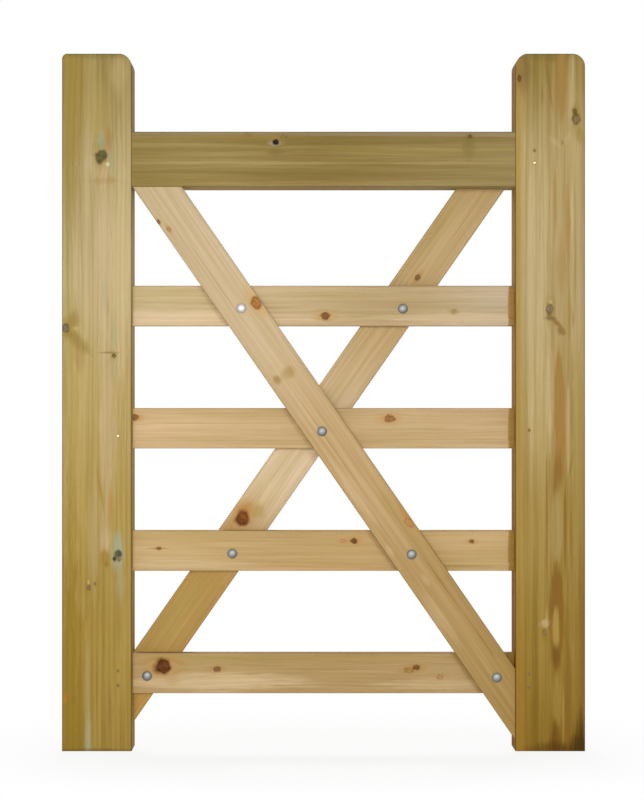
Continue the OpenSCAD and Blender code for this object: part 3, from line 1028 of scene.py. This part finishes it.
def timber_material(timber, board, finish, marks=()):
    """Treated softwood for one timber, in its own axes, with its knots, stains, and marks of fixings and
    joints that are partly painted shade.
    """
    material = bpy.data.materials.new(f"{timber.node}_wood")
    material.use_nodes = True
    bench = Bench(material.node_tree)
    shader = material.node_tree.nodes["Principled BSDF"]
    coordinates = bench.add("ShaderNodeTexCoord").outputs
    own_axes = {
        "Vector": coordinates["Object"],
        "Location": board.centre,
        "Rotation": (0.0, board.turn, 0.0),
    }
    place = bench.add("ShaderNodeMapping", own_axes, vector_type="TEXTURE").outputs[0]
    along, through, across = bench.split(place)

    knots = []
    shift = 0.0
    for knot in timber.knots:
        seen = bench.place_group(shared_group("Knot", knot_group), {
            "Place": place,
            "Centre": board.place(knot.x, knot.z),
            "Radius": knot.radius,
            "Stretch": knot.stretch,
            "Lean": KNOT_LEAN,
            "Depth": knot.depth,
        })
        shift = bench.math("ADD", seen["Grain Shift"], shift)
        knots.append((knot, seen))
    grain = bench.join(along, through, bench.math("ADD", across, shift))

    growth = bench.place_group(shared_group("Growth Rings", growth_group), {
        "Place": grain,
        "Pith Depth": timber.pith_depth,
        "Pith Across": timber.pith_across,
        "Ring Gap": timber.ring_gap,
        "Wander": timber.ring_wander,
        "Fray": timber.fray,
        "Seed": timber.seed,
    })
    fibres = bench.place_group(shared_group("Fibres", fibre_group), {"Place": grain, "Seed": timber.seed})

    share = bench.math("MULTIPLY_ADD", along, 1.0 / board.length, 0.5)
    colour = bench.ramp(share, timber.tones)
    broad = bench.math("MULTIPLY", fibres["Streaks"], STREAK_SHARE * timber.streaks)
    bands = bench.math("MULTIPLY_ADD", fibres["Bands"], BAND_SHARE * timber.streaks, broad)
    dark = bench.math("MULTIPLY_ADD", fibres["Fibres"], finish.fibre_contrast, bands)
    colour = bench.mix(dark, colour, finish.dark_fibres, "MULTIPLY")
    patches = bench.math("MULTIPLY", fibres["Patches"], finish.patchiness)
    colour = bench.mix(patches, colour, finish.preservative, "MULTIPLY")

    streaky = bench.math("MULTIPLY_ADD", fibres["Fibres"], -0.3, 1.15)
    # Stains, then the marks of the fixings and joints, which carry painted shade and painted shadow
    for stain in (*timber.stains, *marks):
        mask = bench.place_group(shared_group("Stain", stain_group), {
            "Place": place,
            "Centre": board.place(stain.x, stain.z),
            **stain.axes(board.thickness),
            "Feather": fibres["Feather"],
            "Softness": stain.softness,
            "Bluntness": stain.bluntness,
        })["Mask"]
        factor = bench.math("MULTIPLY", bench.math("MULTIPLY", mask, stain.strength), streaky)
        colour = bench.mix(factor, colour, stain.colour)

    late = bench.math("MULTIPLY", growth["Latewood"], timber.ring_contrast)
    colour = bench.mix(late, colour, timber.latewood, "MULTIPLY")
    flecks = bench.math("MULTIPLY", fibres["Flecks"], FLECK_SHARE)
    colour = bench.mix(flecks, colour, timber.latewood, "MULTIPLY")

    gloss = bench.math("MULTIPLY", late, -0.1)
    raised = bench.math("MULTIPLY_ADD", late, 0.5, fibres["Fibres"])
    for knot, seen in knots:
        halo = bench.math("MULTIPLY", seen["Halo"], HALO_SHARE * knot.strength)
        colour = bench.mix(halo, colour, knot.halo, "MULTIPLY")
        core = bench.math("MULTIPLY", seen["Core"], knot.strength)
        light_core = [KNOT_GLOW * part for part in knot.core]
        colour = bench.mix(core, colour, bench.mix(seen["Tone"], knot.core, light_core))
        rim = bench.math("MULTIPLY", seen["Rim"], RIM_SHARE * knot.strength)
        colour = bench.mix(rim, colour, KNOT_RIM, "MULTIPLY")
        gloss = bench.math("MULTIPLY_ADD", core, -0.1, gloss)
        raised = bench.math("MULTIPLY_ADD", seen["Rim"], -0.7, raised)

    faces = bench.place_group(shared_group("Faces", face_group), {
        "Normal": coordinates["Normal"],
        "Grain": (math.cos(board.turn), 0.0, -math.sin(board.turn)),
    })
    # Painted shade on the rounded edges and narrow sides, painted light on the top rail's sides, then the
    # darker sawn ends
    edge_shade = bench.math("MULTIPLY", faces["Arris"], timber.edges)
    colour = bench.mix(edge_shade, colour, finish.edge_shade, "MULTIPLY")
    colour = bench.mix(faces["Side"], colour, timber.sides, "MULTIPLY")
    colour = bench.mix(faces["Sawn"], colour, finish.end_grain, "MULTIPLY")

    roughness = bench.math("MULTIPLY_ADD", fibres["Fibres"], 0.12, finish.roughness - 0.06)
    bench.give(shader.inputs["Base Color"], colour)
    bench.give(shader.inputs["Roughness"], bench.math("ADD", roughness, gloss))
    bench.give(shader.inputs["Specular IOR Level"], finish.sheen)
    bump = bench.add("ShaderNodeBump", {"Strength": 0.6, "Distance": finish.relief, "Height": raised})
    bench.give(shader.inputs["Normal"], bump.outputs[0])
    return material


def dress(context, timber, board, marks=()):
    """Gives a CAD timber its wood."""
    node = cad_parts.get(timber.node)
    if node is None:
        raise RuntimeError(f"the frame has no timber named {timber.node}")
    material = timber_material(timber, board, context.scene.gate_timber, marks)
    node.data.materials.clear()
    node.data.materials.append(material)


class BoltPlace(NamedTuple):
    """A coach bolt: its place, the boards that it goes through and the faces that it clamps."""

    x: float
    z: float
    front: float
    back: float
    boards: tuple


def bolt_places(fixings):
    """The bolts where the braces cross the lower rails. One bolt takes both braces where they cross."""
    front_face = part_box("front_brace")[0].y
    back_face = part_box("back_brace")[1].y
    places = []
    for rail in BOLTED_RAILS:
        low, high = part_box(rail)
        z = (low.z + high.z) / 2 - fixings.bolt_drop
        front_x = brace_line("front_brace", fixings.brace_width, z)
        back_x = brace_line("back_brace", fixings.brace_width, z) + fixings.back_bolt_shift
        if abs(front_x - back_x) < fixings.brace_width / 2:
            both = ("front_brace", rail, "back_brace")
            places.append(BoltPlace((front_x + back_x) / 2, z, front_face, back_face, both))
        else:
            places.append(BoltPlace(front_x, z, front_face, high.y, ("front_brace", rail)))
            places.append(BoltPlace(back_x, z, low.y, back_face, (rail, "back_brace")))
    return places


def bolt_shade_marks(context, node):
    """Dark rings round the bolts on one timber: pressed wood with painted contact shade."""
    fixings = context.scene.gate_fixings
    reach = 0.75 * fixings.head_diameter
    return [
        Stain(place.x, place.z, reach, reach, DARK_LINE, 0.3)
        for place in bolt_places(fixings)
        if node in place.boards
    ]


def joint_dirt_and_shadow_marks(context, node):
    """Joint dirt with painted shadow on a lower rail: beside the latch stile, and along the front brace's
    lower edge, stronger on the lower rails.
    """
    low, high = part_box(node)
    middle = (low.z + high.z) / 2
    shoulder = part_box("latch_stile")[0].x
    width = context.scene.gate_fixings.brace_width
    brace = brace_board("front_brace", width)
    edge = brace_line("front_brace", width, middle) - width / 2 / math.sin(brace.turn)
    share = max(0.0, (brace.centre.z + 0.1 - middle) / brace.length)
    tilt = -math.degrees(brace.turn)
    return [
        Stain(shoulder - 0.003, middle, 0.009, 0.08, JOINT_DIRT_AND_SHADOW, 0.9, 0.0, 0.6, 2.5),
        Stain(edge - 0.003, middle, 0.09, 0.01, JOINT_DIRT_AND_SHADOW, share, tilt, 1.0, 3.0),
    ]


def pin_places():
    """Each tenon pin that shows: its stile, X, Z and whether it is still bright."""
    places = []
    for stile, rail, inset, drop, bright in TENON_PINS:
        low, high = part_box(stile)
        x = high.x - inset if stile == "hanging_stile" else low.x + inset
        rail_low, rail_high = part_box(rail)
        places.append((stile, x, (rail_low.z + rail_high.z) / 2 - drop, bright))
    return places


def pin_marks(context, node):
    """Stained wood round the tenon pins on one stile."""
    reach = context.scene.gate_fixings.pin_diameter
    return [
        Stain(x, z, 1.3 * reach, reach, DARK_LINE, 0.35)
        for stile, x, z, _ in pin_places()
        if stile == node
    ]


def turned_object(name, rows, segments, closed=False):
    """A piece turned about Y. Each row has a Y and a radius, which may be a function of the angle."""
    bm = bmesh.new()
    rings = []
    for y, radius in rows:
        if radius == 0.0:
            rings.append([bm.verts.new((0.0, y, 0.0))])
            continue
        ring = []
        for step in range(segments):
            angle = 2 * math.pi * step / segments
            reach = radius(angle) if callable(radius) else radius
            ring.append(bm.verts.new((reach * math.cos(angle), y, reach * math.sin(angle))))
        rings.append(ring)
    pairs = list(zip(rings, rings[1:]))
    if closed:
        pairs.append((rings[-1], rings[0]))
    for first, second in pairs:
        for step in range(segments):
            following = (step + 1) % segments
            corners = [first[step % len(first)], first[following % len(first)],
                       second[following % len(second)], second[step % len(second)]]
            bm.faces.new(list(dict.fromkeys(corners)))
    bmesh.ops.recalc_face_normals(bm, faces=bm.faces)
    mesh = bpy.data.meshes.new(name)
    bm.to_mesh(mesh)
    bm.free()
    mesh.shade_smooth()
    mesh.set_sharp_from_angle(angle=math.radians(35.0))
    piece = bpy.data.objects.new(name, mesh)
    bpy.context.scene.collection.objects.link(piece)
    return piece


def coach_bolt(name, grip, fixings):
    """A domed head, a plain shank and a threaded end. The head's underside is at y = 0."""
    head = fixings.head_diameter / 2
    edge = 0.12 * fixings.head_height
    shank = fixings.bolt_diameter / 2
    pitch = fixings.thread_pitch
    depth = 0.6 * pitch
    nut_face = grip + fixings.washer_thickness + fixings.nut_height
    end = nut_face + fixings.thread_end
    dome_steps = 14
    rows = [(-fixings.head_height, 0.0)]
    for step in range(1, dome_steps + 1):
        swing = math.pi / 2 * step / dome_steps
        rise = (fixings.head_height - edge) * math.cos(swing)
        rows.append((-edge - rise, (head - edge) * math.sin(swing) + edge * step / dome_steps))
    rows += [(-edge / 2, head), (0.0, head - edge / 2), (0.0, shank), (grip, shank)]
    turns_per_row = 0.25
    row_count = int((end - grip) / (pitch * turns_per_row))

    def groove(y):
        """Radius of the thread at a height, as a function of the angle."""
        def radius(angle):
            phase = (y / pitch + angle / (2 * math.pi)) % 1.0
            return shank - depth * abs(2 * phase - 1.0)
        return radius

    for step in range(1, row_count):
        y = grip + pitch * turns_per_row * step
        rows.append((y, groove(y)))
    rows += [(end, shank - depth), (end + pitch / 4, shank - 1.5 * depth), (end + pitch / 4, 0.0)]
    return turned_object(name, rows, fixings.segments)


def bolt_washer(name, fixings):
    """A flat washer with rounded edges, from y = 0."""
    outer = fixings.washer_diameter / 2
    inner = fixings.bolt_diameter / 2 + 0.0002
    height = fixings.washer_thickness
    ease = 0.2 * height
    rows = [(0.0, inner), (0.0, outer - ease), (ease, outer), (height - ease, outer),
            (height, outer - ease), (height, inner)]
    return turned_object(name, rows, fixings.segments, closed=True)


def bolt_nut(name, fixings):
    """A hexagon nut with chamfered corners, from y = 0."""
    flat = fixings.nut_width / 2
    height = fixings.nut_height
    inner = fixings.bolt_diameter / 2
    chamfer = 0.13 * height
    sixth = math.pi / 3

    def hexagon(limit):
        """Radius of the hexagon, cut back to a round limit."""
        return lambda angle: min(limit, flat / math.cos((angle + sixth / 2) % sixth - sixth / 2))

    corner = flat / math.cos(sixth / 2)
    round_limits = ((0.0, 0.97 * flat), (0.4 * chamfer, 1.06 * flat), (chamfer, corner))
    rows = [(0.0, inner + chamfer / 2)]
    rows += [(y, hexagon(limit)) for y, limit in round_limits]
    rows += [(height - y, hexagon(limit)) for y, limit in reversed(round_limits)]
    rows += [(height, inner + chamfer / 2), (height - chamfer / 2, inner), (chamfer / 2, inner)]
    return turned_object(name, rows, fixings.segments, closed=True)


def tenon_pin(name, fixings):
    """A small pin with a shallow punched head. The timber's face is at y = 0."""
    head = fixings.pin_diameter / 2
    proud = 0.1 * fixings.pin_diameter
    length = 3 * fixings.pin_diameter
    rows = [(-0.4 * proud, 0.0), (-0.5 * proud, 0.25 * head), (-proud, 0.45 * head),
            (-0.9 * proud, 0.75 * head), (-0.5 * proud, 0.93 * head), (0.0, head), (proud, head),
            (2 * proud, 0.6 * head), (length, 0.5 * head), (length + head, 0.0)]
    return turned_object(name, rows, fixings.segments // 2)


def zinc_material(name, bright, dull, dullness, rim):
    """Zinc plating with crystals and dull patches, and with painted shade on the rim and the lower side.
    """
    material = bpy.data.materials.new(name)
    material.use_nodes = True
    bench = Bench(material.node_tree)
    shader = material.node_tree.nodes["Principled BSDF"]
    place = bench.add("ShaderNodeTexCoord").outputs["Object"]
    plating = bench.place_group(shared_group("Plating", plating_group), {"Place": place, "Rim": rim})
    patches = bench.fade(plating["Cloud"], 0.75 - 0.6 * dullness, 1.0 - 0.45 * dullness)
    tinted = bench.math("MULTIPLY", plating["Crystal"], 0.25)
    colour = bench.mix(tinted, bright, CRYSTAL_TINT, "MULTIPLY")
    # Dull patches, then painted shade on the rim and the lower side
    for mask in (patches, plating["Rim Shade"], plating["Low Shade"]):
        colour = bench.mix(mask, colour, dull)
    rough = bench.math("MULTIPLY_ADD", plating["Cloud"], 0.25, 0.2 + 0.4 * dullness)
    bench.give(shader.inputs["Base Color"], colour)
    bench.give(shader.inputs["Metallic"], 1.0 - dullness)
    bench.give(shader.inputs["Specular IOR Level"], 0.3 * (1.0 - dullness))
    bench.give(shader.inputs["Roughness"], bench.math("MULTIPLY_ADD", plating["Crystal"], 0.08, rough))
    bump = bench.add("ShaderNodeBump", {"Strength": 0.25, "Distance": 0.0001, "Height": plating["Cloud"]})
    bench.give(shader.inputs["Normal"], bump.outputs[0])
    return material


def fit(piece, place, material):
    """Puts a fixing in its place, with its finish, on the leaf."""
    piece.location = place
    piece.data.materials.append(material)
    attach(piece, BODY)


class GATE_OT_dress_hanging_stile(bpy.types.Operator):
    """Give the hanging stile its straight-grained wood"""

    bl_idname = "gate.dress_hanging_stile"
    bl_label = "Dress Hanging Stile"

    def execute(self, context):
        node = HANGING_STILE.node
        dress(context, HANGING_STILE, upright_board(node), pin_marks(context, node))
        return {"FINISHED"}


class GATE_OT_dress_latch_stile(bpy.types.Operator):
    """Give the latch stile its arched, flat-sawn wood"""

    bl_idname = "gate.dress_latch_stile"
    bl_label = "Dress Latch Stile"

    def execute(self, context):
        node = LATCH_STILE.node
        dress(context, LATCH_STILE, upright_board(node), pin_marks(context, node))
        return {"FINISHED"}


class GATE_OT_dress_top_rail(bpy.types.Operator):
    """Give the top rail its dark olive wood"""

    bl_idname = "gate.dress_top_rail"
    bl_label = "Dress Top Rail"

    def execute(self, context):
        dress(context, TOP_RAIL, level_board(TOP_RAIL.node))
        return {"FINISHED"}


class GATE_OT_dress_lower_rails(bpy.types.Operator):
    """Give the four slim rails their pale wood"""

    bl_idname = "gate.dress_lower_rails"
    bl_label = "Dress Lower Rails"

    def execute(self, context):
        for rail in LOWER_RAILS:
            # Joint dirt with the painted shadows of the latch stile and the front brace, and painted shade
            # round the bolts
            marks = (*joint_dirt_and_shadow_marks(context, rail.node), *bolt_shade_marks(context, rail.node))
            dress(context, rail, level_board(rail.node), marks)
        return {"FINISHED"}


class GATE_OT_dress_braces(bpy.types.Operator):
    """Give the two braces their pale wood, with the grain along them"""

    bl_idname = "gate.dress_braces"
    bl_label = "Dress Braces"

    def execute(self, context):
        width = context.scene.gate_fixings.brace_width
        for brace in BRACES:
            # Painted shade round the bolts
            dress(context, brace, brace_board(brace.node, width), bolt_shade_marks(context, brace.node))
        return {"FINISHED"}


class GATE_OT_fit_coach_bolts(bpy.types.Operator):
    """Fit the zinc coach bolts, washers and nuts where the braces cross the rails"""

    bl_idname = "gate.fit_coach_bolts"
    bl_label = "Fit Coach Bolts"

    def execute(self, context):
        fixings = context.scene.gate_fixings
        rim = fixings.head_diameter / 2
        # The dirt colours also paint the shade on the bolts' rims and lower sides
        clean = zinc_material("clean_zinc", fixings.zinc, CLEAN_DIRT_AND_SHADE, 0.2, rim)
        weathered = zinc_material("weathered_zinc", fixings.dull_zinc, WEATHERED_DIRT_AND_SHADE, 0.35, rim)
        for number, place in enumerate(bolt_places(fixings), 1):
            zinc = clean if number == CLEAN_BOLT else weathered
            grip = place.back - place.front
            fit(coach_bolt(f"coach_bolt_{number}", grip, fixings), (place.x, place.front, place.z), zinc)
            fit(bolt_washer(f"bolt_washer_{number}", fixings), (place.x, place.back, place.z), zinc)
            seat = place.back + fixings.washer_thickness
            fit(bolt_nut(f"bolt_nut_{number}", fixings), (place.x, seat, place.z), zinc)
        return {"FINISHED"}


class GATE_OT_drive_tenon_pins(bpy.types.Operator):
    """Drive the small pins that hold the tenons in the stiles"""

    bl_idname = "gate.drive_tenon_pins"
    bl_label = "Drive Tenon Pins"

    def execute(self, context):
        fixings = context.scene.gate_fixings
        rim = fixings.pin_diameter / 2
        bright_zinc = zinc_material("bright_pin", BRIGHT_PIN, fixings.tarnish_and_shade, 0.2, rim)
        dull_zinc = zinc_material("dull_pin", DULL_PIN, fixings.tarnish_and_shade, 0.95, rim)
        for number, (stile, x, z, bright) in enumerate(pin_places(), 1):
            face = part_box(stile)[0].y
            pin = tenon_pin(f"tenon_pin_{number}", fixings)
            fit(pin, (x, face, z), bright_zinc if bright else dull_zinc)
        return {"FINISHED"}


class GATE_OT_set_stage(bpy.types.Operator):
    """Set up the camera, the lamps, the white surroundings and the floor"""

    bl_idname = "gate.set_stage"
    bl_label = "Set Stage"

    def execute(self, context):
        stage = context.scene.gate_stage
        place_camera(context.scene, stage)
        aim = (cad_box[0] + cad_box[1]) / 2
        add_lamp("key_lamp", stage.key_place, aim, stage.key_size, stage.key_power)
        add_lamp("fill_lamp", stage.fill_place, aim, stage.soft_size, stage.fill_power)
        add_lamp("back_lamp", stage.back_place, aim, stage.soft_size, stage.back_power)
        light_surroundings(context.scene, stage)
        lay_floor(stage)
        context.scene.view_settings.view_transform = "Standard"
        return {"FINISHED"}


def place_camera(scene, stage):
    """A level camera that looks square at the front of the leaf."""
    camera = bpy.data.objects.new("camera", bpy.data.cameras.new("camera"))
    camera.location = stage.camera_place
    camera.rotation_euler = (math.pi / 2, 0.0, 0.0)
    camera.data.lens = stage.lens
    camera.data.shift_x = stage.view_shift
    scene.collection.objects.link(camera)
    scene.camera = camera


def add_lamp(name, place, aim, size, power):
    """A square lamp that faces the leaf."""
    lamp = bpy.data.objects.new(name, bpy.data.lights.new(name, "AREA"))
    lamp.data.size = size
    lamp.data.energy = power
    lamp.location = place
    lamp.rotation_euler = (aim - Vector(place)).to_track_quat("-Z", "Y").to_euler()
    bpy.context.scene.collection.objects.link(lamp)


def white_rays(bench):
    """One for rays that should see plain white: those of the camera, of reflections and through glass."""
    rays = bench.add("ShaderNodeLightPath").outputs
    seen = bench.math("MAXIMUM", rays["Is Camera Ray"], rays["Is Glossy Ray"])
    return bench.math("MAXIMUM", seen, rays["Is Transmission Ray"])


def light_surroundings(scene, stage):
    """White surroundings: plain white to look at, and softer as a light."""
    world = bpy.data.worlds.new("white_studio")
    world.use_nodes = True
    world.node_tree.nodes.clear()
    bench = Bench(world.node_tree)
    light = bench.add("ShaderNodeBackground", {"Color": (1.0, 1.0, 1.0), "Strength": stage.ambient})
    plain = bench.add("ShaderNodeBackground", {"Color": (1.0, 1.0, 1.0), "Strength": 1.0})
    sources = {0: white_rays(bench), 1: light.outputs[0], 2: plain.outputs[0]}
    choice = bench.add("ShaderNodeMixShader", sources)
    bench.add("ShaderNodeOutputWorld", {"Surface": choice.outputs[0]})
    scene.world = world


def floor_material(stage):
    """Pale floor that looks white, keeps a soft shadow and fades into the surroundings."""
    material = bpy.data.materials.new("pale_floor")
    material.use_nodes = True
    bench = Bench(material.node_tree)
    shader = material.node_tree.nodes["Principled BSDF"]
    output = material.node_tree.nodes["Material Output"]
    place = bench.add("ShaderNodeTexCoord").outputs["Object"]
    squeezed = bench.vector("MULTIPLY", place, (0.55, 1.0, 0.0))
    distance = bench.add("ShaderNodeVectorMath", {0: squeezed}, operation="LENGTH").outputs["Value"]
    speckle = bench.noise(place, (60.0, 60.0, 60.0), 3.0)
    bench.give(shader.inputs["Base Color"], bench.ramp(speckle, ((0.9, 0.9, 0.9), (0.94, 0.94, 0.94))))
    bench.give(shader.inputs["Roughness"], bench.math("MULTIPLY_ADD", speckle, 0.1, 0.8))
    shaded = bench.fade(distance, 0.2 * stage.shade_reach, stage.shade_reach, stage.floor_shade, 0.0)
    whiteness = bench.math("MULTIPLY", white_rays(bench), bench.math("SUBTRACT", 1.0, shaded))
    plain = bench.add("ShaderNodeEmission", {"Color": (1.0, 1.0, 1.0), "Strength": 1.0})
    look = bench.add("ShaderNodeMixShader", {0: whiteness, 1: shader.outputs[0], 2: plain.outputs[0]})
    bench.give(output.inputs["Surface"], look.outputs[0])
    return material


def lay_floor(stage):
    """A round floor under the leaf."""
    bm = bmesh.new()
    bmesh.ops.create_circle(bm, cap_ends=True, radius=stage.floor_radius, segments=96)
    mesh = bpy.data.meshes.new("floor")
    bm.to_mesh(mesh)
    bm.free()
    mesh.materials.append(floor_material(stage))
    floor = bpy.data.objects.new("floor", mesh)
    floor.location = ((cad_box[0].x + cad_box[1].x) / 2, 0.0, cad_box[0].z)
    bpy.context.scene.collection.objects.link(floor)


STEPS = (
    GATE_OT_dress_hanging_stile,
    GATE_OT_dress_latch_stile,
    GATE_OT_dress_top_rail,
    GATE_OT_dress_lower_rails,
    GATE_OT_dress_braces,
    GATE_OT_fit_coach_bolts,
    GATE_OT_drive_tenon_pins,
    GATE_OT_set_stage,
)


class GATE_PT_dresser(bpy.types.Panel):
    """Lists the steps that dress the gate leaf, and their settings"""

    bl_idname = "GATE_PT_dresser"
    bl_label = "Gate"
    bl_space_type = "VIEW_3D"
    bl_region_type = "UI"
    bl_category = "Gate"

    def draw(self, context):
        for step in STEPS:
            self.layout.operator(step.bl_idname)
        for settings in (context.scene.gate_timber, context.scene.gate_fixings, context.scene.gate_stage):
            box = self.layout.box()
            for name in settings.__annotations__:
                box.prop(settings, name)


SETTINGS = {
    "gate_timber": GATE_PG_timber,
    "gate_fixings": GATE_PG_fixings,
    "gate_stage": GATE_PG_stage,
}


def register():
    """Registers the settings, the steps and the panel."""
    for cls in (*SETTINGS.values(), *STEPS, GATE_PT_dresser):
        bpy.utils.register_class(cls)
    for name, cls in SETTINGS.items():
        setattr(bpy.types.Scene, name, PointerProperty(type=cls))


def unregister():
    """Takes the panel, the steps and the settings away again."""
    for name in SETTINGS:
        delattr(bpy.types.Scene, name)
    for cls in reversed((*SETTINGS.values(), *STEPS, GATE_PT_dresser)):
        bpy.utils.unregister_class(cls)


def main():
    """Dresses the leaf step by step."""
    register()
    bpy.ops.gate.dress_hanging_stile()
    bpy.ops.gate.dress_latch_stile()
    bpy.ops.gate.dress_top_rail()
    bpy.ops.gate.dress_lower_rails()
    bpy.ops.gate.dress_braces()
    bpy.ops.gate.fit_coach_bolts()
    bpy.ops.gate.drive_tenon_pins()
    bpy.ops.gate.set_stage()


if __name__ == "__main__":
    main()
